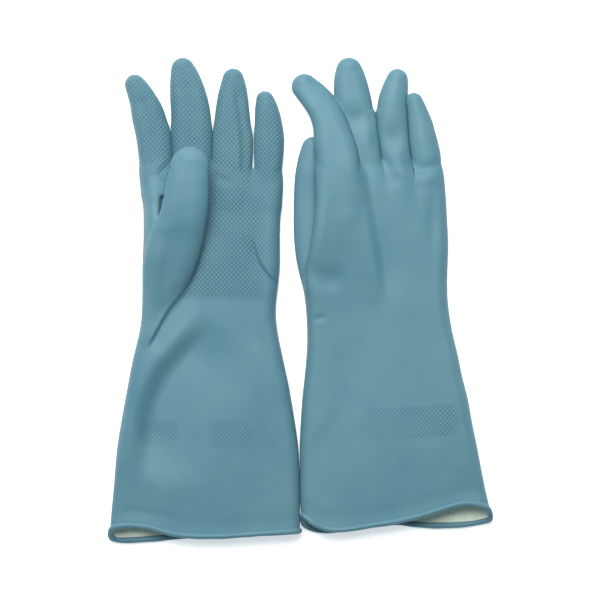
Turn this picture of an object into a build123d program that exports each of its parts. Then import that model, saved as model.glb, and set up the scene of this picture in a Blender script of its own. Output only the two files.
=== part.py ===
"""A pair of long household rubber gloves, lying side by side on a flat surface.

The left glove lies on its back with the thumb across the palm. The right glove lies palm down
with the thumb tucked beside and below it. Each glove is a thin dip-moulded rubber skin with a
pale lining bonded inside it, and a rolled bead round the cuff. The skin is divided where the
empty glove folds: at the wrist, at the root of the thumb and at the root of each finger.

Frame: +X to the right glove, +Y to the fingertips, +Z up. The origin is on the surface that the
gloves lie on, below the middle of the pair. Units are millimetres and degrees.
"""

from build123d import *
from math import atan2, cos, copysign, degrees, pi, radians, sin, sqrt
import os

# Material thicknesses and clearances
RUBBER = 0.6                # rubber skin
LINING = 0.3                # flock lining inside the rubber
FOLD_GAP = 0.4              # clear slot between two parts at a fold line
BEAD_RADIUS = 1.8           # rolled edge at the cuff
BEAD_SET_BACK = 1.2         # bead's centre beyond the end of the gauntlet
BEAD_OUTWARD = 0.9          # bead's centre outside the middle of the wall

# Shape of the cross-sections
BODY_POWER = 2.6            # superellipse power of the flattened sleeve and palm
STALL_POWER = 2.2           # the same for the thumb and the fingers
CORNERS = 16                # corners round every cross-section
BEAD_CORNERS = 10           # corners round the section of the cuff bead
TIP_SHARES = (0.45, 0.75, 0.93)   # where the rounded tip gets its own sections

WRIST_Y = -32.0             # fold line between gauntlet and hand
BIG = 400.0                 # larger than the whole pair

# Sleeve and palm of each glove, from the cuff to past the roots of the fingers:
# (y, left edge x, right edge x, mid height at the left edge, at the right edge, half height)
LEFT_BODY = [
    (-155.4, -125.6, -1.2, 7.6, 7.6, 8.2),
    (-125.0, -123.6, -1.6, 7.8, 7.8, 8.3),
    (-90.0, -120.4, -2.6, 8.0, 8.0, 8.5),
    (-60.0, -114.9, -6.9, 8.2, 8.2, 8.6),
    (-32.0, -108.6, -13.2, 8.2, 8.2, 8.6),
    (-5.0, -104.6, -15.6, 8.1, 8.1, 8.5),
    (25.0, -105.0, -13.2, 8.0, 8.0, 8.4),
    (60.0, -104.9, -12.0, 8.0, 8.0, 8.4),
    (98.0, -107.4, -10.4, 7.6, 7.6, 7.9),
]
RIGHT_BODY = [
    (-150.6, 4.2, 125.0, 7.6, 7.6, 8.2),
    (-125.0, 0.6, 122.4, 7.8, 7.8, 8.3),
    (-90.0, 0.2, 116.0, 8.0, 8.0, 8.5),
    (-60.0, 1.6, 110.0, 8.2, 8.2, 8.6),
    (-32.0, 4.2, 103.4, 8.4, 8.2, 8.6),
    (-5.0, 4.8, 98.0, 10.2, 8.0, 8.3),
    (25.0, 6.0, 98.2, 15.2, 7.8, 8.0),
    (50.0, 9.0, 98.0, 19.8, 7.6, 7.9),
    (75.0, 9.8, 96.4, 20.2, 7.6, 7.8),
    (98.0, 9.8, 94.0, 18.6, 7.6, 7.5),
]
LEFT_CUFF_SLANT = 0.6       # degrees that the cuff's right end is pulled towards the fingers
RIGHT_CUFF_SLANT = 2.8

# The web that closes the hand between the fingers runs between two points (x, y)
LEFT_WEB = [(-108.0, 93.4), (-9.0, 84.0)]
RIGHT_WEB = [(8.0, 87.6), (97.0, 88.6)]

# Thumb and fingers: stations (x, y, mid height, half width, half height) from inside the hand
# outwards, the tip (x, y), and the y where the fold line crosses the middle of the finger
LEFT_STALLS = {
    "thumb": {
        "stations": [
            (-97.0, -23.5, 9.5, 4.6, 3.4),
            (-94.6, -7.0, 12.0, 9.0, 5.2),
            (-89.8, 12.9, 15.6, 14.4, 6.6),
            (-85.1, 32.8, 20.4, 17.6, 7.0),
            (-79.6, 49.4, 24.4, 17.0, 7.0),
            (-75.7, 62.6, 25.6, 15.8, 7.0),
            (-74.3, 75.9, 25.6, 15.0, 6.8),
            (-72.9, 87.1, 25.2, 12.9, 6.4),
        ],
        "tip": (-70.0, 101.0),
        "fold_y": 62.0,
    },
    "index": {
        "stations": [
            (-95.9, 80.0, 7.2, 10.3, 7.4),
            (-96.4, 99.0, 7.0, 10.7, 7.3),
            (-98.3, 115.6, 6.8, 11.8, 7.0),
            (-102.0, 128.9, 6.5, 11.1, 6.7),
            (-106.1, 139.6, 6.1, 9.2, 6.3),
        ],
        "tip": (-110.3, 148.7),
        "fold_y": 103.0,
    },
    "middle": {
        "stations": [
            (-71.6, 80.0, 7.4, 12.4, 7.6),
            (-71.3, 99.0, 7.2, 12.8, 7.5),
            (-71.4, 118.9, 7.0, 13.8, 7.2),
            (-72.9, 132.2, 6.8, 13.2, 7.0),
            (-75.2, 145.5, 6.4, 10.9, 6.5),
        ],
        "tip": (-77.8, 160.3),
        "fold_y": 104.5,
    },
    "ring": {
        "stations": [
            (-45.2, 78.0, 7.3, 12.4, 7.5),
            (-44.9, 99.0, 7.1, 12.7, 7.4),
            (-44.6, 118.9, 6.9, 12.0, 7.1),
            (-44.4, 132.2, 6.6, 10.7, 6.8),
            (-44.1, 142.1, 6.2, 8.8, 6.3),
        ],
        "tip": (-44.4, 153.4),
        "fold_y": 103.0,
    },
    "little": {
        "stations": [
            (-20.6, 72.0, 7.0, 9.6, 7.2),
            (-20.1, 92.4, 6.8, 10.0, 7.1),
            (-20.3, 109.0, 6.6, 9.8, 6.8),
            (-21.3, 122.2, 6.3, 8.7, 6.4),
            (-22.3, 130.0, 5.9, 7.2, 6.0),
        ],
        "tip": (-23.3, 138.1),
        "fold_y": 95.5,
    },
}
RIGHT_STALLS = {
    "thumb": {
        "stations": [
            (11.4, -12.3, 8.4, 5.3, 4.6),
            (10.2, 6.3, 7.4, 8.0, 7.0),
            (8.3, 24.8, 6.8, 9.8, 7.1),
            (6.5, 40.7, 6.6, 10.6, 7.0),
            (6.3, 58.0, 6.4, 10.6, 6.8),
            (6.6, 73.9, 6.0, 10.3, 6.4),
            (7.4, 89.1, 5.4, 9.1, 5.8),
            (8.3, 99.0, 5.0, 6.9, 5.2),
        ],
        "tip": (8.9, 107.7),
        "fold_y": 44.0,
    },
    "index": {
        "stations": [
            (24.9, 78.0, 17.4, 13.6, 7.4),
            (24.0, 99.0, 16.4, 13.4, 7.3),
            (21.0, 112.3, 14.0, 12.0, 7.0),
            (15.7, 125.5, 11.0, 11.0, 6.8),
            (9.6, 134.2, 8.8, 9.9, 6.6),
            (3.5, 141.1, 7.2, 8.2, 6.3),
        ],
        "tip": (-2.3, 147.1),
        "fold_y": 97.0,
    },
    "middle": {
        "stations": [
            (48.2, 78.0, 13.6, 7.6, 8.0),
            (46.3, 99.0, 13.0, 7.4, 8.0),
            (43.2, 112.3, 12.0, 7.8, 7.8),
            (38.8, 125.5, 10.6, 9.6, 7.4),
            (35.0, 135.5, 9.2, 10.9, 7.0),
            (33.2, 145.4, 8.0, 10.2, 6.6),
            (32.5, 152.0, 7.4, 8.2, 6.3),
        ],
        "tip": (32.0, 160.3),
        "fold_y": 100.0,
    },
    "ring": {
        "stations": [
            (65.0, 78.0, 11.4, 8.7, 7.8),
            (63.0, 99.0, 10.6, 8.7, 7.7),
            (61.8, 112.3, 9.8, 9.4, 7.4),
            (61.4, 125.5, 8.6, 10.0, 7.1),
            (62.4, 135.5, 7.6, 9.2, 6.7),
            (63.4, 144.1, 6.8, 7.0, 6.2),
        ],
        "tip": (64.9, 153.4),
        "fold_y": 100.0,
    },
    "little": {
        "stations": [
            (85.4, 74.0, 8.4, 9.4, 7.4),
            (84.2, 92.4, 7.6, 9.4, 7.3),
            (82.2, 105.7, 7.0, 8.9, 7.0),
            (79.9, 118.9, 6.6, 7.4, 6.6),
            (78.0, 127.5, 6.2, 5.7, 6.1),
        ],
        "tip": (74.2, 137.0),
        "fold_y": 99.0,
    },
}
GLOVES = {
    "left": {"body": LEFT_BODY, "slant": LEFT_CUFF_SLANT, "web": LEFT_WEB, "stalls": LEFT_STALLS},
    "right": {"body": RIGHT_BODY, "slant": RIGHT_CUFF_SLANT, "web": RIGHT_WEB, "stalls": RIGHT_STALLS},
}


def ring(centre, heading, roll, half_width, half_height, power):
    """Corners round a superellipse that faces `heading` degrees left of +Y, left side up by roll."""
    right = Vector(cos(radians(heading)), sin(radians(heading)), 0)
    up = Vector(0, 0, 1)
    across = right * cos(radians(roll)) - up * sin(radians(roll))
    lift = up * cos(radians(roll)) + right * sin(radians(roll))
    corners = []
    for i in range(CORNERS):
        turn = 2 * pi * (i + 0.5) / CORNERS
        x = half_width * copysign(abs(cos(turn)) ** (2 / power), cos(turn))
        z = half_height * copysign(abs(sin(turn)) ** (2 / power), sin(turn))
        corners.append(Vector(*centre) + across * x + lift * z)
    return corners


def band(lower, upper):
    """The ruled faces between two rings."""
    faces = []
    for i in range(CORNERS):
        j = (i + 1) % CORNERS
        low, high = Edge.make_line(lower[i], lower[j]), Edge.make_line(upper[i], upper[j])
        faces.append(Face.make_surface_from_curves(low, high))
    return faces


def cap(corners):
    """A flat face on a closed ring of corners."""
    return Face(Wire.make_polygon(corners, close=True))


def skinned(rings, tip=None):
    """A solid through the rings, ending in a flat face or in a point."""
    faces = [cap(rings[0])]
    for lower, upper in zip(rings, rings[1:]):
        faces += band(lower, upper)
    last = rings[-1]
    if tip is None:
        faces.append(cap(last))
    else:
        faces += [cap([last[i - 1], last[i], tip]) for i in range(CORNERS)]
    return Solid(Shell(faces))


def above(height):
    """The space above a height."""
    return Pos(0, 0, height + BIG / 2) * Box(2 * BIG, 2 * BIG, BIG)


def beyond(point, heading, along=0.0):
    """The space beyond a vertical plane that faces `heading` degrees left of +Y."""
    return Pos(*point, 0) * Rot(0, 0, heading) * Pos(0, along + BIG, 0) * Box(2 * BIG, 2 * BIG, 2 * BIG)


def body_solid(rows, slant, inset):
    """The sleeve and palm, inset from the outer surface, with a flat underside."""
    rings = []
    for i, (y, left, right, z_left, z_right, half_height) in enumerate(rows):
        roll = degrees(atan2(z_left - z_right, right - left))
        centre = ((left + right) / 2, y, (z_left + z_right) / 2)
        half_width = (right - left) / 2 - inset
        turn = slant if i == 0 else 0.0
        rings.append(ring(centre, turn, roll, half_width, half_height - inset, BODY_POWER))
    return skinned(rings) & above(inset)


def headings(rows, tip):
    """The direction of a stall at each of its stations, in degrees left of +Y."""
    places = [(row[0], row[1]) for row in rows] + [tip]
    turns = []
    for i in range(len(rows)):
        back, ahead = places[max(i - 1, 0)], places[i + 1]
        turns.append(degrees(atan2(back[0] - ahead[0], ahead[1] - back[1])))
    return turns


def stall_solid(stall, inset):
    """A thumb or finger, inset from the outer surface, closed by a rounded tip."""
    rows, tip = stall["stations"], stall["tip"]
    rings = [
        ring((x, y, z), turn, 0, half_width - inset, half_height - inset, STALL_POWER)
        for (x, y, z, half_width, half_height), turn in zip(rows, headings(rows, tip))
    ]
    x, y, z, half_width, half_height = rows[-1]
    run = sqrt((tip[0] - x) ** 2 + (tip[1] - y) ** 2)
    reach = Vector(tip[0] - x, tip[1] - y, 0) * ((run - inset) / run)
    turn = degrees(atan2(x - tip[0], tip[1] - y))
    start = Vector(x, y, z)
    for share in TIP_SHARES:
        narrowing = sqrt(1 - share ** 2)
        rings.append(ring(
            start + reach * share, turn, 0,
            (half_width - inset) * narrowing, (half_height - inset) * narrowing, STALL_POWER,
        ))
    return skinned(rings, start + reach) & above(inset)


def fold_frame(stall):
    """Where the fold line crosses a stall's middle: (x, y), heading, top, half width."""
    rows = stall["stations"]
    fold_y = stall["fold_y"]
    for lower, upper in zip(rows, rows[1:]):
        if lower[1] <= fold_y <= upper[1]:
            share = (fold_y - lower[1]) / (upper[1] - lower[1])
            x, y, z, half_width, half_height = (a + (b - a) * share for a, b in zip(lower, upper))
            heading = degrees(atan2(lower[0] - upper[0], upper[1] - lower[1]))
            return (x, y), heading, z + half_height, half_width
    raise ValueError("the fold line misses the stall")


def layered(solids_at):
    """The rubber skin and the lining made from one shape at its three insets."""
    outer, middle, inner = (solids_at(inset) for inset in (0.0, RUBBER, RUBBER + LINING))
    return outer - middle, middle - inner


def glove_parts(side, glove):
    """Every part of one glove, by node name."""
    body, slant, web, stalls = glove["body"], glove["slant"], glove["web"], glove["stalls"]
    web_heading = degrees(atan2(web[1][1] - web[0][1], web[1][0] - web[0][0]))
    folds = {name: fold_frame(stall) for name, stall in stalls.items()}
    parts = {}

    def gauntlet(inset):
        return body_solid(body, slant, inset) - beyond((0, WRIST_Y), 0, -FOLD_GAP / 2)

    def hand(inset):
        palm = body_solid(body, slant, inset) & beyond((0, WRIST_Y), 0, FOLD_GAP / 2)
        whole = palm - beyond(web[0], web_heading, -inset)
        for name, stall in stalls.items():
            place, heading = folds[name][:2]
            whole += stall_solid(stall, inset) - beyond(place, heading, -FOLD_GAP / 2)
        return whole

    def stall_end(name):
        place, heading = folds[name][:2]
        return lambda inset: stall_solid(stalls[name], inset) & beyond(place, heading, FOLD_GAP / 2)

    parts[f"{side}_gauntlet"], parts[f"{side}_gauntlet_lining"] = layered(gauntlet)
    parts[f"{side}_hand"], parts[f"{side}_hand_lining"] = layered(hand)
    for name in stalls:
        node = f"{side}_{name}" if name == "thumb" else f"{side}_{name}_finger"
        parts[node], parts[f"{node}_lining"] = layered(stall_end(name))
    parts[f"{side}_cuff_bead"] = cuff_bead(body[0], slant)
    return parts


def cuff_bead(row, slant):
    """The rolled edge: a round section carried round the cuff, flat where it lies on the surface."""
    y, left, right, z_left, z_right, half_height = row
    middle = Vector((left + right) / 2, y, (z_left + z_right) / 2)
    outward = Vector(sin(radians(slant)), -cos(radians(slant)), 0)
    rings = []
    for i in range(BEAD_CORNERS):
        turn = 2 * pi * (i + 0.5) / BEAD_CORNERS
        grow = BEAD_OUTWARD - (RUBBER + LINING) / 2 + BEAD_RADIUS * cos(turn)
        centre = middle + outward * (BEAD_SET_BACK + BEAD_RADIUS * sin(turn))
        rings.append(ring(centre, slant, 0, (right - left) / 2 + grow, half_height + grow, BODY_POWER))
    faces = []
    for i in range(BEAD_CORNERS):
        faces += band(rings[i - 1], rings[i])
    return (Solid(Shell(faces)) & above(0)) - beyond((middle.X, middle.Y), slant)


def main():
    os.makedirs("parts", exist_ok=True)
    for side, glove in GLOVES.items():
        for node, shape in glove_parts(side, glove).items():
            export_step(shape, f"parts/{node}.step")
        for name, stall in glove["stalls"].items():
            place, heading, top, half_width = fold_frame(stall)
            print(side, name, "fold at", place, "heading", heading, "top", top, "half width", half_width)


main()
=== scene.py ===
"""A pair of long teal rubber gloves on a pale floor, seen from straight above.

Each glove is one soft form, worked out on a fine grid as the union of a flattened sleeve and palm
with rounded stalls, then cut into the skin of the hand and one skin for each thumb and finger.
Sizes are millimetres in the frame's axes, and become metres where a mesh is made. The
relief of the grip pattern, the floor, the light and the camera are in metres from the start.
"""

import bpy
import numpy as np
import openvdb
from math import pi
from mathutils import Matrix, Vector


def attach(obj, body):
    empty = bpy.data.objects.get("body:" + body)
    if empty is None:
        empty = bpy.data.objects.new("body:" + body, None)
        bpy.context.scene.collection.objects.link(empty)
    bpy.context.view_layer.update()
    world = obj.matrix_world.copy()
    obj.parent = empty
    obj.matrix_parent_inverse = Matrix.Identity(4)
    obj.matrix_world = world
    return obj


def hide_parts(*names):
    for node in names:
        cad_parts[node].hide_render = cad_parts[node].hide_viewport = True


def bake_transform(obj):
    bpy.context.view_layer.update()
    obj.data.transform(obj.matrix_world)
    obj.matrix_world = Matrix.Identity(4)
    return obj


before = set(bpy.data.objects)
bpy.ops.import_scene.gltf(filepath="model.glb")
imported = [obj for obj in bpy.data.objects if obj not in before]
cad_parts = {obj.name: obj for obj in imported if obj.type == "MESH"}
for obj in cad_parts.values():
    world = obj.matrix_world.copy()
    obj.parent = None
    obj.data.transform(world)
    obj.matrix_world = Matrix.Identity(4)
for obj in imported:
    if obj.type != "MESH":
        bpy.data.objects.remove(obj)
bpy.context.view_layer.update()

MM = 0.001
GRID = 0.8                  # spacing of the grid the forms are worked out on
LINING_GRID = 2.0           # the same for the lining inside
RUBBER = 0.6                # thickness of the rubber
LINING = 0.35               # thickness of the lining
LINING_INSET = 0.9          # lining's outer side below the rubber's outer side
BEAD = 1.95                 # radius of the rolled edge of the cuff
BEAD_SIDES = 14             # points round the rolled edge
BEAD_STEP = 1.3             # distance between its rings of points
BEAD_ROUNDS = 14            # how often its line is smoothed
BEAD_DROP = 0.4             # how far it lies past the rim
BEAD_LIFT = 0.05            # least gap between it and the floor
WALL_GRID = 1.2             # grid of the walls between stalls that lie against each other
WALL_DEPTH = 0.7            # how far those walls lie below the parts' surfaces
WALL = 0.15                 # thickness of those walls
WALL_TOUCH = 0.4            # parts whose surfaces are this near count as lying against each other
BOTTOM, TOP = -3, 36.0      # heights that the grid runs between
GRID_ENDS = (-168, 164)     # ends of the grid along the gloves
OUTER_LOWEST = 0.25         # least height of a shell's outer side above the floor
INNER_LOWEST = 0.3          # the same for its inner side
PALM_ROUND = 8.0            # width of the rounded side of the sleeve and palm
THUMB_ROUND = 11.0          # the same for the thumb
FINGER_ROUND = 9.0          # the same for the fingers
OUTLINE_ROUND = 6.0         # rounding, in plan, where the two sides of a narrow palm meet
WEB_ROUND = 4.0             # the same where the sides meet the line between the fingers
LEAST_HALF = 2.0            # least half thickness that a hollow leaves
LIFT_FALL = 1.6             # how fast the thumb's lift falls off across the hand, as a power
CUFF_DIP = (0.3, 7.0, 5.0)  # dip along the cuff: its depth, distance from the rim and width
RELAX_STEPS = (0.5, -0.52)  # a smoothing step, then a step back that keeps the form's size
LEAST_MERGE = 0.05          # rounding where two parts only touch
ROOT_MERGE = 4.5            # more rounding at the roots of the fingers
THUMB_MERGE = (2.0, 7.0)    # more at the root of the thumb: all round, and on its outer side
RIM_HEIGHTS = (3.5, 11.5)   # heights where the cuff's rim leaves the lower and reaches the upper layer
LINING_CLEAR = 0.5          # least depth of the lining below the glove's surface
FINGERS = ("index", "middle", "ring", "little")
PARTS = ("hand", "thumb", *FINGERS)     # the hand's form takes in the sleeve

# --- Forms of the two gloves -------------------------------------------------------------------
# Sleeve and palm: (y, left edge, right edge)
LEFT_SIDES = [
    (-166, -126.8, -0.2), (-145, -125.5, 0.0), (-120, -123.2, -0.1), (-95, -120.9, -1.4),
    (-60, -114.8, -6.8), (-40, -111.0, -11.0), (-20, -106.3, -15.0), (-5, -104.7, -15.9),
    (20, -104.6, -13.4), (45, -103.8, -13.2), (70, -104.4, -12.2), (100, -106.6, -11.0),
]
RIGHT_SIDES = [
    (-166, 4.5, 130.2), (-150, 2.2, 128.0), (-138, 0.3, 125.8), (-122, -0.2, 122.2), (-98, -0.2, 117.6),
    (-82, 0.4, 114.3), (-66, 1.4, 111.4), (-51, 3.0, 107.7), (-35, 4.4, 104.3), (-19, 5.4, 100.6),
    (-3, 5.0, 98.2), (10, 3.8, 97.6), (20, 4.0, 97.8), (30, 5.4, 98.2), (42, 7.6, 98.2), (55, 9.4, 97.4),
    (70, 10.4, 96.4), (85, 10.7, 94.6), (100, 10.6, 92.6),
]
# Line that closes the palm between the fingers: (x, y), and the y it lies near
LEFT_WEB = [(-112, 92.0), (-85, 92.0), (-60, 92.8), (-37, 84.0), (-5, 80.0)]
RIGHT_WEB = [(8, 90.0), (39, 90.5), (54, 92.0), (75, 91.0), (100, 89.0)]
WEB_Y = 88.0

# Height of the middle surface and half thickness of the sleeve and palm: (y, value)
LEFT_MID = [(-160, 7.4), (-60, 8.0), (60, 7.8), (100, 7.2)]
RIGHT_MID = [(-160, 7.4), (-60, 8.0), (60, 7.8), (100, 7.4)]
LEFT_HALF = [(-160, 6.9), (-120, 7.4), (-60, 8.0), (60, 7.6), (100, 7.0)]
RIGHT_HALF = [(-160, 6.9), (-120, 7.4), (-60, 7.9), (50, 7.5), (80, 6.8), (100, 6.2)]
# How far the thumb below lifts the right hand's left edge: (y, lift)
RIGHT_LIFT = [(-60, 0), (-32, 0.8), (-5, 2.5), (25, 8.0), (50, 12.0), (80, 11.0), (100, 9.5)]

# Circles down the middle of each stall: (x, y, radius, mid height, half thickness)
LEFT_STALLS = {
    "thumb": [
        (-97.0, -18.0, 4.5, 9.0, 4.0), (-93.5, -4.0, 9.8, 11.5, 6.2), (-89.5, 10.0, 14.3, 14.5, 7.2),
        (-85.4, 25.0, 17.4, 18.0, 7.4), (-81.0, 39.4, 17.4, 21.4, 7.2), (-77.6, 50.0, 16.0, 24.0, 7.0),
        (-75.0, 62.6, 15.2, 25.2, 6.8), (-73.7, 75.9, 14.2, 25.4, 6.6), (-72.8, 82.5, 13.2, 25.2, 6.4),
        (-72.1, 88.8, 11.9, 25.0, 6.2),
    ],
    "index": [
        (-95.4, 72.0, 8.8, 7.4, 7.2), (-95.9, 92.4, 10.9, 7.2, 7.1), (-97.4, 108.3, 11.4, 7.0, 7.0),
        (-100.7, 122.2, 11.0, 6.8, 6.7), (-103.8, 131.6, 9.3, 6.5, 6.4), (-107.2, 138.8, 7.9, 6.2, 6.1),
        (-109.7, 143.2, 6.7, 6.0, 5.8),
    ],
    "middle": [
        (-71.6, 72.0, 12.0, 7.6, 7.4), (-71.5, 92.4, 12.5, 7.4, 7.3), (-72.0, 112.3, 13.3, 7.2, 7.2),
        (-72.6, 124.2, 13.1, 7.0, 7.0), (-74.3, 136.0, 12.0, 6.8, 6.7), (-76.4, 147.0, 9.8, 6.4, 6.2),
        (-77.9, 153.3, 7.7, 6.1, 5.8),
    ],
    "ring": [
        (-46.0, 70.0, 12.4, 7.5, 7.3), (-45.0, 90.0, 12.9, 7.3, 7.2), (-44.7, 108.3, 12.7, 7.1, 7.0),
        (-44.9, 120.0, 11.8, 6.9, 6.8), (-44.7, 133.0, 10.3, 6.6, 6.4), (-44.4, 140.5, 8.8, 6.3, 6.1),
        (-44.4, 146.8, 7.1, 6.0, 5.8),
    ],
    "little": [
        (-21.4, 64.0, 7.6, 7.2, 7.0), (-20.9, 84.0, 8.8, 7.0, 6.9), (-20.2, 104.0, 9.8, 6.8, 6.7),
        (-21.0, 117.0, 9.1, 6.5, 6.4), (-22.2, 126.6, 7.7, 6.2, 6.0), (-23.3, 133.0, 5.9, 5.8, 5.5),
    ],
}
RIGHT_STALLS = {
    "thumb": [
        (15.0, -18.0, 5.5, 7.4, 5.4), (13.0, 4.0, 9.6, 6.4, 5.8), (9.8, 25.0, 11.8, 6.0, 5.8),
        (8.1, 42.0, 12.2, 5.9, 5.7), (7.8, 62.0, 12.1, 5.8, 5.6), (7.6, 80.0, 11.2, 5.7, 5.5),
        (8.0, 92.0, 9.6, 5.6, 5.3), (8.7, 100.9, 7.6, 5.4, 5.1),
    ],
    "index": [
        (27.0, 60.0, 13.0, 15.6, 6.6), (26.6, 72.0, 14.6, 17.0, 7.2), (25.3, 84.5, 14.6, 17.8, 7.2),
        (24.2, 95.7, 14.0, 17.6, 7.1), (22.1, 105.7, 13.0, 16.8, 7.0), (19.7, 116.3, 11.5, 15.0, 6.9),
        (15.9, 126.0, 10.8, 12.4, 6.7), (10.1, 134.2, 10.0, 9.4, 6.4), (2.9, 141.6, 8.6, 7.0, 6.2),
    ],
    "middle": [
        (48.5, 58.0, 8.0, 10.2, 6.6), (46.8, 74.0, 9.0, 11.4, 7.2), (45.0, 89.0, 9.5, 10.8, 7.3),
        (42.5, 100.4, 10.0, 10.0, 7.3), (39.6, 117.0, 11.0, 8.8, 7.2), (37.6, 124.5, 11.2, 8.2, 7.0),
        (35.5, 131.5, 12.0, 7.8, 6.8), (34.1, 139.0, 11.7, 7.4, 6.6), (33.1, 146.8, 10.4, 7.0, 6.4),
        (32.5, 152.4, 8.6, 6.6, 6.1),
    ],
    "ring": [
        (68.0, 58.0, 9.0, 8.4, 6.6), (66.0, 74.0, 9.4, 9.4, 7.2), (64.3, 89.1, 9.4, 9.2, 7.2),
        (62.6, 102.4, 9.4, 8.8, 7.1), (61.1, 115.6, 9.8, 8.4, 7.0), (60.9, 124.2, 9.9, 8.0, 6.8),
        (61.4, 132.2, 9.5, 7.4, 6.6), (63.2, 140.1, 8.6, 6.8, 6.2), (64.6, 146.5, 7.1, 6.2, 5.8),
    ],
    "little": [
        (85.4, 56.0, 7.6, 7.0, 6.4), (84.8, 74.0, 8.2, 7.7, 7.1), (84.2, 92.4, 9.4, 7.4, 7.0),
        (82.9, 100.4, 9.5, 7.2, 6.9), (81.5, 108.3, 8.9, 7.0, 6.8), (80.2, 116.3, 8.0, 6.7, 6.5),
        (78.3, 124.2, 6.8, 6.3, 6.1), (75.8, 132.0, 5.7, 5.8, 5.6),
    ],
}

# Rim of the cuff on the upper and on the lower layer: (x, y)
LEFT_RIM_TOP = [
    (-128, -152.0), (-125.5, -150.8), (-116, -148.4), (-101, -149.6), (-88, -153.2), (-75, -155.2),
    (-52, -155.6), (-25.5, -153.8), (-1, -152.4), (4, -152.4),
]
LEFT_RIM_LOW = [(-128, -157.0), (-119, -159.6), (-96, -158.4), (-75, -156.6), (-52, -156.0), (4, -152.8)]
RIGHT_RIM_TOP = [
    (-2, -139.4), (3, -142.6), (9, -147.0), (18, -150.8), (30, -151.2), (47, -148.4), (64.5, -145.6),
    (82.5, -141.2), (96, -136.8), (108, -133.8), (118, -134.6), (125, -138.0), (131, -143.0),
]
RIGHT_RIM_LOW = [
    (-2, -144.6), (5, -150.6), (14, -153.2), (24, -152.6), (47, -149.2), (64.5, -147.8),
    (78, -149.2), (92, -149.8), (110, -149.0), (122, -147.0), (131, -144.4),
]

# Each stall's fold: y where its skin starts, then y where the bend starts and ends
LEFT_BENDS = {
    "thumb": (50.0, 54.0, 74.0), "index": (96.0, 97.0, 112.0), "middle": (96.0, 97.5, 114.0),
    "ring": (95.0, 96.0, 112.0), "little": (89.0, 90.0, 103.0),
}
RIGHT_BENDS = {
    "thumb": (33.0, 36.0, 56.0), "index": (90.0, 91.0, 106.0), "middle": (91.0, 92.0, 108.0),
    "ring": (91.0, 92.0, 108.0), "little": (90.0, 91.5, 107.0),
}


def smoothstep(low, high, value):
    """0 below low, 1 above high, and a smooth ramp between."""
    t = np.clip((value - low) / (high - low), 0, 1)
    return t * t * (3 - 2 * t)


def curve_at(knots, t):
    """A Catmull-Rom curve through the rows of knots, at parameters t from 0 to len(knots) - 1."""
    k = np.asarray(knots, float)
    k = np.vstack([2 * k[0] - k[1], k, 2 * k[-1] - k[-2]])
    i = np.clip(np.floor(t).astype(int), 0, len(knots) - 2)
    u = (t - i)[:, None]
    a, b, c, d = k[i], k[i + 1], k[i + 2], k[i + 3]
    square, cube = 2 * a - 5 * b + 4 * c - d, 3 * b - a - 3 * c + d
    return 0.5 * (2 * b + (c - a) * u + square * u**2 + cube * u**3)


def drawn(knots, density):
    """Points along the smooth curve through knots, density of them for each knot."""
    return curve_at(knots, np.linspace(0, len(knots) - 1, density * len(knots)))


def along(knots, where):
    """A smooth curve through (place, value) knots, read at the places in where."""
    fine = drawn(knots, 40)
    return np.interp(where, fine[:, 0], fine[:, 1])


def smooth_min(a, b, k):
    """The lesser of two fields, rounded over where they are within k of each other."""
    h = np.clip(0.5 + 0.5 * (b - a) / k, 0, 1)
    return b * (1 - h) + a * h - k * h * (1 - h)


def near_line(x, y, points, width):
    """1 on a smooth line through points, falling to 0 over about width."""
    fine = drawn(points, 12)
    d2 = np.full(x.shape, 1e9)
    for px, py in fine:
        d2 = np.minimum(d2, (x - px) ** 2 + (y - py) ** 2)
    return np.exp(-d2 / (width * width))


def swell(x, y, place, size):
    """1 at a place, falling to 0 over a rounded patch of the given half sizes."""
    return np.exp(-(((x - place[0]) / size[0]) ** 2) - ((y - place[1]) / size[1]) ** 2)


def pillow(inward, edge, z, mid, upper, lower):
    """A puffed form: inward is the distance in from its outline, edge the width of its rounded side."""
    w = (z - mid) / np.where(z > mid, upper, lower)
    u = np.clip(1 - inward / edge, 0, None)
    return (np.sqrt(u * u + w * w) - 1) * lower


def stall_plan(circles, x, y):
    """Inward distance, mid height and half thickness of a stall over the plane."""
    fine = drawn(circles, 9)
    inward = np.full(x.shape, -1e9)
    for cx, cy, r, z, h in fine:
        inward = np.maximum(inward, r - np.sqrt((x - cx) ** 2 + (y - cy) ** 2))
    mid = np.interp(y, fine[:, 1], fine[:, 3])
    half = np.interp(y, fine[:, 1], fine[:, 4])
    return inward, mid, half


# --- Creases and dents: how much the upper surface rises or sinks ------------------------------
def beside_line(x, y, points, run_out):
    """Distance to the left of a smooth line, and a share that fades out past its two ends."""
    fine = drawn(points, 12)
    ahead = np.gradient(fine, axis=0)
    ahead /= np.linalg.norm(ahead, axis=1, keepdims=True)
    best = np.full(x.shape, 1e9)
    side, share = np.zeros(x.shape), np.zeros(x.shape)
    length = np.linalg.norm(np.diff(fine, axis=0), axis=1).sum()
    for i, ((px, py), (ax, ay)) in enumerate(zip(fine, ahead)):
        dx, dy = x - px, y - py
        d2 = dx * dx + dy * dy
        closer = d2 < best
        best = np.where(closer, d2, best)
        side = np.where(closer, ax * dy - ay * dx, side)
        gone = i / (len(fine) - 1) * length + ax * dx + ay * dy
        from_end = np.minimum(gone, length - gone)
        share = np.where(closer, smoothstep(-run_out, run_out, from_end), share)
    return side, share


def fold(x, y, points, high, low, soft, left, right, run_out=6.0):
    """A fold along a line: the surface is high just left of it and low just right of it.

    The drop is soft wide, and the two sides fade out over the left and right widths.
    """
    side, share = beside_line(x, y, points, run_out)
    up = smoothstep(-0.5 * soft, 0.5 * soft, side)
    rise = high * up * np.exp(-((side / left) ** 2)) - low * (1 - up) * np.exp(-((side / right) ** 2))
    return rise * share


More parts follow.
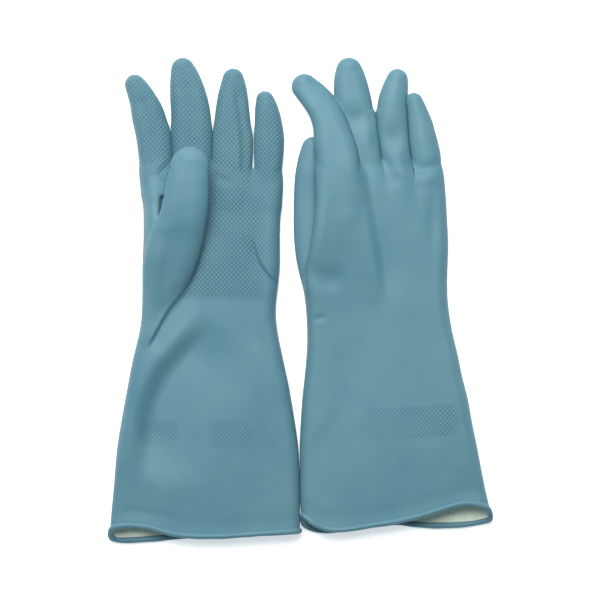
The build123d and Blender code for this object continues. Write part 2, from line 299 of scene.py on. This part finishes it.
def left_relief(x, y):
    """Folds and hollows of the palm-up glove's upper layer."""
    # heel of the palm, and the hollow beside the thumb
    rise = 1.2 * swell(x, y, (-36, 40), (18, 42)) - 1.6 * swell(x, y, (-58, 62), (10, 28))
    # the palm drawn up to the thumb, and the pad under the index finger
    rise += 9.0 * swell(x, y, (-95, 43), (13, 27)) + 1.0 * swell(x, y, (-101, 85), (9, 20))
    # slit between the thumb and the palm behind it
    rise += -4.5 * near_line(x, y, [(-90.5, 53), (-91, 60), (-90.5, 67)], 1.4)
    # crease at the palm's right edge
    rise += fold(x, y, [(-30.5, 38), (-27, 26), (-21, 17), (-13, 10)], 0.7, 1.5, 3.0, 9, 6)
    # foot of the thumb
    rise += fold(x, y, [(-99, -29), (-88, -9), (-77, 7), (-70, 24)], 1.2, 1.6, 2.6, 12, 9)
    # long hollow that runs from the wrist down the sleeve's left side
    hollow = [(-106.5, -106), (-104.5, -82), (-99.5, -62), (-91.5, -46), (-81.5, -34), (-68, -19)]
    rise += fold(x, y, hollow, 2.2, 5.0, 17.0, 12, 30, 16)
    # soft crease at the wrist's right side
    rise += fold(x, y, [(-14, -56), (-21, -42), (-29, -27)], 0.5, 0.8, 8.0, 8, 12, 10)
    # the cuff's left corner, flatter than the sleeve, with a shallow line across it
    rise += 0.5 * swell(x, y, (-84, -124), (16, 10)) - 2.2 * swell(x, y, (-108, -142), (24, 26))
    rise += -0.25 * near_line(x, y, [(-114, -139.5), (-98, -141), (-84, -144)], 2.8)
    # fullness of the sleeve
    rise += 0.8 * swell(x, y, (-45, -60), (26, 40)) + 0.6 * swell(x, y, (-60, -110), (30, 24))
    # small creases at the roots of the index and ring fingers
    rise += -1.0 * near_line(x, y, [(-92, 84), (-88, 88), (-84.5, 94)], 2.0)
    rise += -0.8 * near_line(x, y, [(-60, 86), (-56, 82), (-50, 79)], 3.2)
    rise += 0.6 * near_line(x, y, [(-94, 89), (-89, 92), (-85, 97)], 2.0)
    return rise


def right_relief(x, y):
    """Folds and hollows of the palm-down glove's upper layer."""
    # back of the hand, and the dip along its right side
    rise = 0.9 * swell(x, y, (66, 20), (22, 40)) - 1.3 * swell(x, y, (88, 50), (5, 22))
    # ridge of the index finger, running down over the hand
    ridge = [(54, 8), (51, 29), (47, 50), (42.8, 74), (39.8, 90), (36.5, 106)]
    rise += fold(x, y, ridge, 1.3, 1.8, 8.0, 14, 14, 14)
    # dip below the thumb's foot, and a short pinch at the wrist
    rise += -2.2 * near_line(x, y, [(5, 20), (12, 16), (20, 14)], 8.0)
    rise += -0.6 * near_line(x, y, [(6, -13.5), (10, -12.8), (15, -11.5)], 2.2)
    # creases at the roots of the ring and little fingers
    rise += -1.1 * near_line(x, y, [(71, 94), (74, 88), (81, 86.5), (90, 90)], 3.8)
    rise += 0.6 * near_line(x, y, [(69, 85), (76, 80), (86, 80)], 4.0)
    rise += -0.7 * near_line(x, y, [(57, 92), (58.5, 85), (62, 80)], 4.0)
    # soft fold, fullness and hollows of the sleeve
    rise += fold(x, y, [(3, -97), (14, -88), (26, -66)], 0.3, 0.5, 14.0, 12, 16, 14)
    rise += 0.8 * swell(x, y, (62, -96), (34, 26)) - 1.2 * swell(x, y, (112, -126), (12, 12))
    rise += -1.2 * swell(x, y, (32, -48), (10, 22))
    return rise


def left_finger_relief(x, y):
    """Hollows along the palm-up glove's fingers."""
    rise = fold(x, y, [(-39, 84), (-39, 100), (-41, 120), (-44, 138)], 0.4, 1.7, 5.0, 7, 9)
    rise += -1.0 * near_line(x, y, [(-97, 92), (-100, 112), (-104.5, 130)], 3.5)
    rise += -0.8 * near_line(x, y, [(-70, 98), (-71, 120), (-74.5, 140)], 4.0)
    return rise - 0.6 * near_line(x, y, [(-19, 92), (-20, 112)], 4.0)


def right_finger_relief(x, y):
    """Dips across the palm-down glove's fingers where they would bend."""
    rise = -2.6 * swell(x, y, (38, 119), (9, 8)) - 2.4 * swell(x, y, (62, 107), (8, 9))
    rise += -1.0 * near_line(x, y, [(50, 104), (49, 112), (47.5, 120)], 3.0)
    return rise + 0.6 * swell(x, y, (60, 132), (8, 9)) - 0.6 * swell(x, y, (20, 100), (9, 14))


def band_patch(x, y, middle, half, lean=0.0):
    """1 inside a patch with tapered ends, fading over a few millimetres at its sides."""
    u = np.abs(x - middle[0]) / half[0]
    v = np.abs(y - middle[1] - lean * (x - middle[0])) / half[1]
    return (1 - smoothstep(0.82, 1.0, v)) * (1 - smoothstep(0.85, 1.05, u + 0.22 * v))


def grip_left(x, y, z, up):
    """Where the left glove carries the moulded grip pattern: its palm side, which faces up."""
    palm = smoothstep(-1, 4, y) * smoothstep(0.50, 0.90, up)
    # it fades out beside the thumb and on the heel of the palm, and stops at the thumb itself
    beside_thumb = (1 - smoothstep(-97, -88, x)) * (1 - smoothstep(54, 80, y))
    palm = palm * (1 - 0.8 * smoothstep(-30, -18, x) * (1 - smoothstep(56, 84, y)))
    palm = palm * (1 - beside_thumb) * (1 - smoothstep(17.0, 18.5, z) * smoothstep(-106, -100, x))
    bands = band_patch(x, y, (-93.5, -87.5), (15.5, 10)) + band_patch(x, y, (-46, -87.5), (15.5, 10))
    return np.maximum(palm, 0.5 * bands * (up > 0))


def grip_right(x, y, z, up):
    """The same for the right glove: its palm side faces down, but a band round the cuff shows."""
    palm = smoothstep(-1, 4, y) * (1 - smoothstep(-0.75, -0.30, up))
    band = band_patch(x, y, (72, -80), (37, 11.5), 0.06) * (0.35 + 0.4 * smoothstep(60, 100, x))
    return np.maximum(palm, band * (up > 0))


# "x" is the grid's width, "web_slope" how steeply the palm closes between the fingers, "parted" the y
# from which the fingers stand apart, "thumb_y" the y where the thumb comes free of the palm, and
# "thumb_edge" how far in from the palm's left edge its rounder merge starts.
GLOVES = {
    "left": {
        "sides": LEFT_SIDES, "web": LEFT_WEB, "mid": LEFT_MID, "half": LEFT_HALF, "lift": None,
        "stalls": LEFT_STALLS, "bends": LEFT_BENDS, "rim_top": LEFT_RIM_TOP, "rim_low": LEFT_RIM_LOW,
        "relief": left_relief, "finger_relief": left_finger_relief, "grip": grip_left,
        "x": (-131, 3), "web_slope": 0.5, "parted": 122.0, "thumb_y": 56.0, "thumb_edge": 2.0,
    },
    "right": {
        "sides": RIGHT_SIDES, "web": RIGHT_WEB, "mid": RIGHT_MID, "half": RIGHT_HALF, "lift": RIGHT_LIFT,
        "stalls": RIGHT_STALLS, "bends": RIGHT_BENDS, "rim_top": RIGHT_RIM_TOP, "rim_low": RIGHT_RIM_LOW,
        "relief": right_relief, "finger_relief": right_finger_relief, "grip": grip_right,
        "x": (-9, 133), "web_slope": 0.35, "parted": 136.0, "thumb_y": 46.0, "thumb_edge": -5.0,
    },
}


# --- From forms to meshes ----------------------------------------------------------------------
def glove_form(glove, x, y):
    """What the glove's forms need at places in plan: outlines, heights and how the parts merge."""
    left = along([(r[0], r[1]) for r in glove["sides"]], y)
    right = along([(r[0], r[2]) for r in glove["sides"]], y)
    web = along(glove["web"], x)
    inward = smooth_min(x - left, right - x, OUTLINE_ROUND)
    inward = smooth_min(inward, glove["web_slope"] * (web - 1.0 - y), WEB_ROUND)
    mid, half = along(glove["mid"], y), along(glove["half"], y)
    depth, distance, width = CUFF_DIP
    above_cuff = y - along(glove["rim_top"], x)
    relief = glove["relief"](x, y) - depth * np.exp(-(((above_cuff - distance) / width) ** 2))
    if glove["lift"] is not None:
        side = np.clip((right - x) / (right - left), 0, 1)
        mid = mid + along(glove["lift"], y) * side**LIFT_FALL
    rooted = relief * (1 - smoothstep(WEB_Y - 4, WEB_Y + 18, y))
    near_thumb = 1 - smoothstep(glove["thumb_y"] - 36, glove["thumb_y"], y)
    centre = along([(c[1], c[0]) for c in glove["stalls"]["thumb"]], y)
    past_edge = smoothstep(glove["thumb_edge"], glove["thumb_edge"] + 8, x - left)
    outer = (1 - smoothstep(-8, 4, x - centre)) * past_edge
    return {
        "inward": inward, "mid": mid, "half": half, "relief": relief,
        "rooted": rooted + glove["finger_relief"](x, y),
        "plans": {name: stall_plan(circles, x, y) for name, circles in glove["stalls"].items()},
        "join": LEAST_MERGE + ROOT_MERGE * (1 - smoothstep(WEB_Y - 7, WEB_Y + 11, y)),
        "merge": LEAST_MERGE + near_thumb * (THUMB_MERGE[0] + THUMB_MERGE[1] * outer),
    }


def part_level(form, name, z):
    """The field of one part alone: the hand with its sleeve, or one stall."""
    if name == "hand":
        upper = np.maximum(form["half"] + form["relief"], LEAST_HALF)
        return pillow(form["inward"], PALM_ROUND, z, form["mid"], upper, form["half"])
    depth, mid, half = form["plans"][name]
    if name == "thumb":
        return pillow(depth, THUMB_ROUND, z, mid, half, half)
    return pillow(depth, FINGER_ROUND, z, mid, half + form["rooted"], half)


def whole_level(form, z):
    """The field of all the parts merged."""
    level = part_level(form, "hand", z)
    for name in FINGERS:
        level = smooth_min(level, part_level(form, name, z), form["join"])
    return smooth_min(level, part_level(form, "thumb", z), form["merge"])


def level_grid(glove, low, high, grid, level_at):
    """A field on a grid over a box, negative inside, and the grid's lowest corner."""
    xs, ys, zs = (np.arange(a, b, grid) for a, b in zip(low, high))
    x, y = np.meshgrid(xs, ys, indexing="ij")
    form = glove_form(glove, x, y)
    values = np.stack([level_at(form, z).astype(np.float32) for z in zs], axis=-1)
    return values, (xs[0], ys[0], zs[0])


def surface(values, corner, grid, level):
    """Vertices and quads of the surface where the field has the given level."""
    cube = openvdb.FloatGrid(background=6.0)
    cube.copyFromArray(np.clip(values, -6, 6).astype(np.float32))
    points, quads = cube.convertToQuads(isovalue=level)
    return np.asarray(points, float) * grid + np.asarray(corner), np.asarray(quads, int)


def crowd(glove, points):
    """Brings neighbouring fingers together above their roots, so that they all but touch."""
    x, y = points[:, 0], points[:, 1]
    depth = np.array([stall_plan(glove["stalls"][n], x, y)[0] for n in FINGERS])
    order = np.argsort(-depth, axis=0)
    own, other = order[0], order[1]
    inside, outside = [np.take_along_axis(depth, order[i:i + 1], axis=0)[0] for i in (0, 1)]
    gap = np.clip(-outside - inside, 0, None)
    seams = np.array([glove["bends"][n][0] for n in FINGERS])
    start = np.maximum(seams[own], seams[other])
    at_side = 1 - smoothstep(0.5, 5.5, inside)
    narrow = 1 - smoothstep(1.5, 2.8, gap)
    amount = (0.5 * gap + 0.15) * at_side * narrow
    amount = amount * smoothstep(start - 13, start - 6, y)
    amount = amount * (1 - smoothstep(glove["parted"] - 14, glove["parted"], y))
    return points[:, 0] + np.sign(other - own) * amount


def facing_out(points, quads):
    """The quads turned to face outwards, and outward unit normals at the vertices."""
    face = np.cross(points[quads[:, 2]] - points[quads[:, 0]], points[quads[:, 3]] - points[quads[:, 1]])
    normals = np.zeros_like(points)
    for corner in range(4):
        np.add.at(normals, quads[:, corner], face)
    normals = normals / np.maximum(np.linalg.norm(normals, axis=1, keepdims=True), 1e-9)
    if normals[np.argmax(points[:, 2]), 2] < 0:
        return quads[:, ::-1], -normals
    return quads, normals


def quad_edges(quads):
    """The four directed edges of every quad."""
    return np.vstack([quads[:, [i, (i + 1) % 4]] for i in range(4)])


def relax(points, quads, rounds):
    """Takes the grid's stair steps out of a surface."""
    edges = quad_edges(quads)
    count = np.bincount(edges.ravel(), minlength=len(points))[:, None].astype(float)
    for step in range(rounds):
        for strength in RELAX_STEPS:
            total = np.zeros_like(points)
            np.add.at(total, edges[:, 0], points[edges[:, 1]])
            np.add.at(total, edges[:, 1], points[edges[:, 0]])
            points = points + strength * (total / np.maximum(count, 1) - points)
    return points


def outline_edges(quads):
    """The directed edges that only one quad uses."""
    edges = quad_edges(quads)
    both = np.sort(edges, axis=1)
    key = both[:, 0].astype(np.int64) * (both.max() + 1) + both[:, 1]
    _, first, times = np.unique(key, return_index=True, return_counts=True)
    return edges[first[times == 1]]


def loops(edges):
    """Open outline edges joined up into closed rings of vertices, longest first."""
    after = dict(map(tuple, edges))
    rings = []
    while after:
        start, here = next(iter(after.items()))
        del after[start]
        ring = [start]
        while here in after:
            ring.append(here)
            here = after.pop(here)
        rings.append(ring)
    return sorted(rings, key=len, reverse=True)


def cuff_line(glove, x, z):
    """Where the cuff ends in y: its rim on the lower layer, rising to its rim on the upper one."""
    share = smoothstep(*RIM_HEIGHTS, z)
    return along(glove["rim_low"], x) * (1 - share) + along(glove["rim_top"], x) * share


def glove_shell(glove, grid, level, rounds):
    """The glove's surface, open at the cuff: points, quads, normals."""
    low, high = zip(glove["x"], GRID_ENDS, (BOTTOM, TOP))
    values, corner = level_grid(glove, low, high, grid, whole_level)
    points, quads = surface(values, corner, grid, level)
    points = relax(points, quads, rounds)
    points[:, 2] = np.maximum(points[:, 2], OUTER_LOWEST - level)
    points[:, 0] = crowd(glove, points)
    quads, normals = facing_out(points, quads)
    line = cuff_line(glove, points[:, 0], points[:, 2])
    keep = (points[:, 1] > line)[quads].sum(axis=1) >= 2
    quads = quads[keep]
    rim = np.unique(outline_edges(quads))
    points[rim, 1] = cuff_line(glove, points[rim, 0], points[rim, 2])
    return points, quads, normals


def hidden_wall(glove, name):
    """A part's own wall where it lies against another part, seen only once the two move apart."""
    stall = "thumb" if name == "hand" else name
    circles = np.array(glove["stalls"][stall])
    reach = circles[:, 2].max() + 3
    low = (circles[:, 0].min() - reach, circles[:, 1].min() - reach, BOTTOM)
    high = (circles[:, 0].max() + reach, circles[:, 1].max() + reach, TOP)
    values, corner = level_grid(glove, low, high, WALL_GRID, lambda form, z: part_level(form, name, z))
    points, quads = surface(values, corner, WALL_GRID, -WALL_DEPTH)
    quads, normals = facing_out(points, quads)
    middle = points[quads].mean(axis=1)
    form = glove_form(glove, middle[:, 0], middle[:, 1])
    others = ["thumb"] if name == "hand" else [n for n in PARTS if n != name]
    against = np.min([part_level(form, n, middle[:, 2]) for n in others], axis=0)
    keep = (against < WALL_DEPTH + WALL_TOUCH) & (middle[:, 1] > glove["bends"][stall][0] + 2)
    points[:, 0] = crowd(glove, points)
    return points, quads[keep], normals


def part_of(glove, points, quads):
    """Which of PARTS each quad belongs to, by number.

    Also says which quads lie outside their own stall's wall, or too near the glove's surface.
    """
    x, y, z = points[quads].mean(axis=1).T
    form = glove_form(glove, x, y)
    hand, *stalls = [part_level(form, name, z) for name in PARTS]
    nearest = np.argmin(stalls, axis=0)
    past_seam = y - np.array([glove["bends"][name][0] for name in PARTS[1:]])[nearest]
    of_hand = (nearest == 0) & (hand < stalls[0])
    part = np.where((past_seam > 0) & ~of_hand, nearest + 1, 0)
    outside = (part > 0) & (past_seam > 10) & (np.min(stalls, axis=0) > -WALL_DEPTH + WALL)
    outside |= (y < WEB_Y - 4) & (whole_level(form, z) > -LINING_CLEAR)
    return part, outside


def mesh_piece(name, points, quads, normals, depths, attributes):
    """A closed thin shell: the outer surface, the same surface sunk by depths, and the rim between."""
    used, quads = np.unique(quads, return_inverse=True)
    quads = quads.reshape(-1, 4)
    outer, n = points[used], normals[used]
    sunk = outer - n * depths[used, None]
    sunk[:, 2] = np.maximum(sunk[:, 2], INNER_LOWEST)
    count = len(used)
    rim = outline_edges(quads)
    sides = np.column_stack([rim[:, 1], rim[:, 0], rim[:, 0] + count, rim[:, 1] + count])
    faces = np.vstack([quads, quads[:, ::-1] + count, sides])
    every = np.vstack([outer, sunk]) * MM
    mesh = bpy.data.meshes.new(name)
    mesh.vertices.add(len(every))
    mesh.vertices.foreach_set("co", every.ravel())
    mesh.loops.add(4 * len(faces))
    mesh.loops.foreach_set("vertex_index", faces.ravel().astype(np.int32))
    mesh.polygons.add(len(faces))
    mesh.polygons.foreach_set("loop_start", np.arange(0, 4 * len(faces), 4, dtype=np.int32))
    mesh.update(calc_edges=True)
    mesh.validate()
    mesh.polygons.foreach_set("use_smooth", np.ones(len(mesh.polygons), bool))
    rest = mesh.attributes.new("rest", "FLOAT_VECTOR", "POINT")
    rest.data.foreach_set("vector", np.vstack([outer, outer]).astype(np.float32).ravel() * MM)
    for key, values in attributes.items():
        layer = mesh.attributes.new(key, "FLOAT", "POINT")
        layer.data.foreach_set("value", np.tile(values[used], 2).astype(np.float32))
    both = np.vstack([n, -n])
    mesh.normals_split_custom_set_from_vertices(both.tolist())
    piece = bpy.data.objects.new(name, mesh)
    bpy.context.scene.collection.objects.link(piece)
    return piece


def node_name(side, name):
    """The CAD name of the hand or of a stall."""
    return f"{side}_{name}_finger" if name in FINGERS else f"{side}_{name}"


def put_in_frame(piece, side, name, suffix):
    """Bakes a skin's or lining's placing into its mesh, and hides what it stands for."""
    node = node_name(side, name)
    if name == "hand":
        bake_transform(piece)
        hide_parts(f"{side}_gauntlet{suffix}", node + suffix)
    else:
        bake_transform(piece)
        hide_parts(node + suffix)


def build_skins(side, glove, rubber):
    """The rubber skins of one glove. Returns the points and normals round its cuff."""
    points, quads, normals = glove_shell(glove, GRID, 0.0, 3)
    grip = glove["grip"](points[:, 0], points[:, 1], points[:, 2], normals[:, 2])
    part, _ = part_of(glove, points, quads)
    for i, name in enumerate(PARTS):
        wall_points, wall, wall_normals = hidden_wall(glove, name)
        wall_grip = glove["grip"](*wall_points.T, wall_normals[:, 2])
        depths = np.repeat([RUBBER, WALL], [len(points), len(wall_points)])
        piece = mesh_piece(
            node_name(side, name) + "_skin", np.vstack([points, wall_points]),
            np.vstack([quads[part == i], wall + len(points)]), np.vstack([normals, wall_normals]),
            depths, {"grip": np.append(grip, wall_grip)},
        )
        piece.data.materials.append(rubber)
        put_in_frame(piece, side, name, "")
    cuff = loops(outline_edges(quads))[0]
    return points[cuff], normals[cuff]


def build_linings(side, glove, cream):
    """The pale lining inside one glove, a thin shell below the rubber."""
    points, quads, normals = glove_shell(glove, LINING_GRID, -LINING_INSET, 2)
    part, outside = part_of(glove, points, quads)
    depths = np.full(len(points), LINING)
    for i, name in enumerate(PARTS):
        chosen = quads[(part == i) & ~outside]
        piece = mesh_piece(node_name(side, name) + "_flock", points, chosen, normals, depths, {})
        piece.data.materials.append(cream)
        put_in_frame(piece, side, name, "_lining")


def build_bead(side, cuff, normals, rubber):
    """The rolled edge: a round tube along the rim of the cuff."""
    ring = cuff - normals * RUBBER / 2
    for step in range(BEAD_ROUNDS):
        ring = 0.5 * ring + 0.25 * (np.roll(ring, 1, axis=0) + np.roll(ring, -1, axis=0))
    gaps = np.linalg.norm(np.roll(ring, -1, axis=0) - ring, axis=1)
    run = np.concatenate([[0], np.cumsum(gaps)])
    closed = np.vstack([ring, ring[:1]])
    steps = int(run[-1] / BEAD_STEP)
    places = np.linspace(0, run[-1], steps, endpoint=False)
    centre = np.column_stack([np.interp(places, run, closed[:, i]) for i in range(3)])
    centre[:, 1] -= BEAD_DROP
    centre[:, 2] = np.maximum(centre[:, 2], BEAD + BEAD_LIFT)
    ahead = np.roll(centre, -1, axis=0) - np.roll(centre, 1, axis=0)
    ahead /= np.linalg.norm(ahead, axis=1, keepdims=True)
    side_on = np.cross(ahead, (0, 1, 0))
    side_on /= np.maximum(np.linalg.norm(side_on, axis=1, keepdims=True), 1e-6)
    other = np.cross(ahead, side_on)
    wobble = 1 + 0.06 * np.sin(places * 0.11) + 0.04 * np.sin(places * 0.37 + 1.0)
    tube = []
    for turn in np.arange(BEAD_SIDES) * 2 * pi / BEAD_SIDES:
        tube.append(centre + (side_on * np.cos(turn) + other * np.sin(turn)) * (BEAD * wobble)[:, None])
    points = np.stack(tube, axis=1).reshape(-1, 3)
    i, j = np.meshgrid(np.arange(steps) * BEAD_SIDES, np.arange(BEAD_SIDES), indexing="ij")
    i2, j2 = np.roll(i, -1, axis=0), np.roll(j, -1, axis=1)
    faces = np.stack([i + j, i + j2, i2 + j2, i2 + j], axis=-1)
    mesh = bpy.data.meshes.new(f"{side}_rolled_edge")
    mesh.from_pydata((points * MM).tolist(), [], faces.reshape(-1, 4).tolist())
    mesh.polygons.foreach_set("use_smooth", np.ones(len(mesh.polygons), bool))
    rest = mesh.attributes.new("rest", "FLOAT_VECTOR", "POINT")
    rest.data.foreach_set("vector", (points * MM).astype(np.float32).ravel())
    mesh.attributes.new("grip", "FLOAT", "POINT")
    piece = bpy.data.objects.new(f"{side}_rolled_edge", mesh)
    bpy.context.scene.collection.objects.link(piece)
    piece.data.materials.append(rubber)
    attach(piece, f"{side}_gauntlet")
    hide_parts(f"{side}_cuff_bead")


# --- Materials ---------------------------------------------------------------------------------
class Nodes:
    """Short calls for building one material's nodes."""

    def __init__(self, name):
        self.material = bpy.data.materials.new(name)
        self.material.use_nodes = True
        self.tree = self.material.node_tree
        self.shader = self.tree.nodes["Principled BSDF"]

    def new(self, kind, **settings):
        node = self.tree.nodes.new(kind)
        for key, value in settings.items():
            setattr(node, key, value)
        return node

    def link(self, source, target):
        self.tree.links.new(source, target)

    def math(self, operation, *values):
        node = self.new("ShaderNodeMath", operation=operation)
        for socket, value in zip(node.inputs, values):
            if isinstance(value, (int, float)):
                socket.default_value = value
            else:
                self.link(value, socket)
        return node.outputs[0]

    def rest(self):
        """Where the point lies on the unbent glove."""
        return self.new("ShaderNodeAttribute", attribute_name="rest").outputs["Vector"]

    def noise(self, scale, detail=3.0, rough=0.55):
        node = self.new("ShaderNodeTexNoise")
        self.link(self.rest(), node.inputs["Vector"])
        node.inputs["Scale"].default_value = scale
        node.inputs["Detail"].default_value = detail
        node.inputs["Roughness"].default_value = rough
        return node.outputs["Fac"]

    def ramp(self, value, stops):
        node = self.new("ShaderNodeValToRGB")
        self.link(value, node.inputs["Fac"])
        elements = node.color_ramp.elements
        while len(elements) < len(stops):
            elements.new(0.5)
        for element, (place, colour) in zip(elements, stops):
            element.position = place
            element.color = (*colour, 1)
        return node.outputs["Color"]


GRIP_PITCH = 2.15           # distance between the rows of grip diamonds
GRIP_LEAN = (0.74, 0.67)    # direction that the rows run across, the one way and mirrored
WEAR = (0.9, 0.25)          # how much of the diamonds is left: its spread and its least
SATIN = (0.16, 0.46)        # roughness of the rubber: its spread and its least
PORES = 0.06                # height of the pores, as a share of the diamonds' height
LUMPS = 0.15                # the same for the skin's slow unevenness
GROOVE_SHARE = 0.45         # how strongly the grooves between the diamonds are darkened with painted shade
RUBBER_RELIEF = 0.00050     # height of the diamonds, in metres
FLOCK_RELIEF = 0.0003       # height of the flock's fibres, in metres
TEAL = (0.101, 0.231, 0.286)
TEAL_DEEP = (0.083, 0.207, 0.268)
TEAL_PALE = (0.119, 0.251, 0.294)
# painted shade: the colour multiplied into the grooves between the diamonds, standing in for shade there
PAINTED_GROOVE_SHADE = (0.55, 0.62, 0.66, 1)
CREAM = (0.73, 0.80, 0.63)
CREAM_PALE = (0.89, 0.95, 0.80)
FLOOR_GLOW = 0.50


def rubber_material():
    """Satin teal latex, with fine diamonds moulded into its palm side and painted shade in the grooves
    between them.
    """
    n = Nodes("teal latex")
    grip = n.new("ShaderNodeAttribute", attribute_name="grip").outputs["Fac"]
    split = n.new("ShaderNodeSeparateXYZ")
    n.link(n.rest(), split.inputs[0])
    turn = pi / (GRIP_PITCH * MM)
    diagonals = []
    for sign in (1, -1):
        lean = n.math("MULTIPLY", split.outputs["X"], sign * GRIP_LEAN[0])
        both = n.math("ADD", lean, n.math("MULTIPLY", split.outputs["Y"], GRIP_LEAN[1]))
        diagonals.append(n.math("ABSOLUTE", n.math("SINE", n.math("MULTIPLY", both, turn))))
    diamonds = n.math("MULTIPLY", diagonals[0], diagonals[1])
    worn = n.math("MULTIPLY_ADD", n.noise(34.0, 2.0), *WEAR)
    raised = n.math("MULTIPLY", n.math("MULTIPLY", diamonds, grip), worn)
    cloud = n.ramp(n.noise(26.0, 4.0), [(0.25, TEAL_DEEP), (0.5, TEAL), (0.78, TEAL_PALE)])
    # painted shade: the base colour is darkened between the diamonds, where the grooves would lie in
    # shade
    painted_groove_shade = n.new("ShaderNodeMix", data_type="RGBA", blend_type="MULTIPLY")
    between = n.math("MULTIPLY", n.math("SUBTRACT", 1.0, diamonds), grip)
    n.link(n.math("MULTIPLY", between, GROOVE_SHARE), painted_groove_shade.inputs["Factor"])
    n.link(cloud, painted_groove_shade.inputs[6])
    painted_groove_shade.inputs[7].default_value = PAINTED_GROOVE_SHADE
    n.link(painted_groove_shade.outputs[2], n.shader.inputs["Base Color"])
    pores = n.math("MULTIPLY", n.noise(900.0, 2.0), PORES)
    lumps = n.math("MULTIPLY", n.noise(90.0, 3.0), LUMPS)
    height = n.math("ADD", n.math("ADD", raised, pores), lumps)
    bump = n.new("ShaderNodeBump")
    bump.inputs["Strength"].default_value = 1.0
    bump.inputs["Distance"].default_value = RUBBER_RELIEF
    n.link(height, bump.inputs["Height"])
    n.link(bump.outputs["Normal"], n.shader.inputs["Normal"])
    n.link(n.math("MULTIPLY_ADD", n.noise(60.0, 3.0), *SATIN), n.shader.inputs["Roughness"])
    n.shader.inputs["IOR"].default_value = 1.5
    n.shader.inputs["Specular IOR Level"].default_value = 0.32
    return n.material


def flock_material():
    """Pale cotton flock stuck to the inside of the rubber."""
    n = Nodes("cream flock")
    tone = n.ramp(n.noise(220.0, 4.0), [(0.3, CREAM), (0.7, CREAM_PALE)])
    n.link(tone, n.shader.inputs["Base Color"])
    bump = n.new("ShaderNodeBump")
    bump.inputs["Strength"].default_value = 0.5
    bump.inputs["Distance"].default_value = FLOCK_RELIEF
    n.link(n.noise(1800.0, 3.0), bump.inputs["Height"])
    n.link(bump.outputs["Normal"], n.shader.inputs["Normal"])
    n.shader.inputs["Roughness"].default_value = 0.9
    n.shader.inputs["Sheen Weight"].default_value = 0.25
    return n.material


def floor_material():
    """Matte white, with the faintest mottle."""
    n = Nodes("white ground")
    tone = n.ramp(n.noise(4.0, 2.0), [(0.3, (0.93, 0.93, 0.93)), (0.7, (0.95, 0.95, 0.95))])
    n.link(tone, n.shader.inputs["Base Color"])
    n.shader.inputs["Roughness"].default_value = 0.9
    n.shader.inputs["Emission Color"].default_value = (1, 1, 1, 1)
    n.shader.inputs["Emission Strength"].default_value = FLOOR_GLOW
    return n.material


# --- Floor, light and camera -------------------------------------------------------------------
# Sizes here are metres.
FLOOR_HALF = 3.0            # half the width of the floor
CAMERA_HEIGHT = 1.5         # above the middle of the gloves
MIDDLE_HEIGHT = 0.01        # of the gloves above the floor
VIEW_WIDTH = 0.3975         # width that the camera takes in
SENSOR = 36.0
KEY_PLACE = (-0.22, 0.95, 1.45)
KEY_SIZE = 1.4
KEY_POWER = 46.0
KEY_TINT = (1.0, 0.975, 0.95)
SKY = (0.70, 0.97, 1.15, 1)
SKY_STRENGTH = 0.22


def build_floor():
    """A wide pale floor just below the gloves."""
    mesh = bpy.data.meshes.new("floor")
    ways = [(-1, -1), (1, -1), (1, 1), (-1, 1)]
    corners = [(a * FLOOR_HALF, b * FLOOR_HALF, 0) for a, b in ways]
    mesh.from_pydata(corners, [], [(0, 1, 2, 3)])
    floor = bpy.data.objects.new("floor", mesh)
    bpy.context.scene.collection.objects.link(floor)
    rest = mesh.attributes.new("rest", "FLOAT_VECTOR", "POINT")
    rest.data.foreach_set("vector", np.array(corners, np.float32).ravel())
    mesh.materials.append(floor_material())


def area_light(name, place, aim, size, power, tint):
    """A square soft box pointed at a place."""
    data = bpy.data.lights.new(name, "AREA")
    data.color = tint
    data.shape = "SQUARE"
    data.size = size
    data.energy = power
    light = bpy.data.objects.new(name, data)
    bpy.context.scene.collection.objects.link(light)
    light.location = place
    light.rotation_euler = (Vector(aim) - Vector(place)).to_track_quat("-Z", "Y").to_euler()


def build_light_and_camera():
    """Soft studio light from above and a camera looking straight down."""
    scene = bpy.context.scene
    area_light("key", KEY_PLACE, (0, 0, 0), KEY_SIZE, KEY_POWER, KEY_TINT)
    world = bpy.data.worlds.new("studio")
    world.use_nodes = True
    sky = world.node_tree.nodes["Background"].inputs
    sky["Color"].default_value = SKY
    sky["Strength"].default_value = SKY_STRENGTH
    scene.world = world
    data = bpy.data.cameras.new("camera")
    data.sensor_width = SENSOR
    data.lens = SENSOR * CAMERA_HEIGHT / VIEW_WIDTH
    camera = bpy.data.objects.new("camera", data)
    scene.collection.objects.link(camera)
    camera.location = (0, 0, CAMERA_HEIGHT + MIDDLE_HEIGHT)
    scene.camera = camera
    scene.view_settings.view_transform = "Standard"


rubber, cream = rubber_material(), flock_material()
for side, glove in GLOVES.items():
    cuff, cuff_normals = build_skins(side, glove, rubber)
    build_linings(side, glove, cream)
    build_bead(side, cuff, cuff_normals, rubber)
build_floor()
build_light_and_camera()
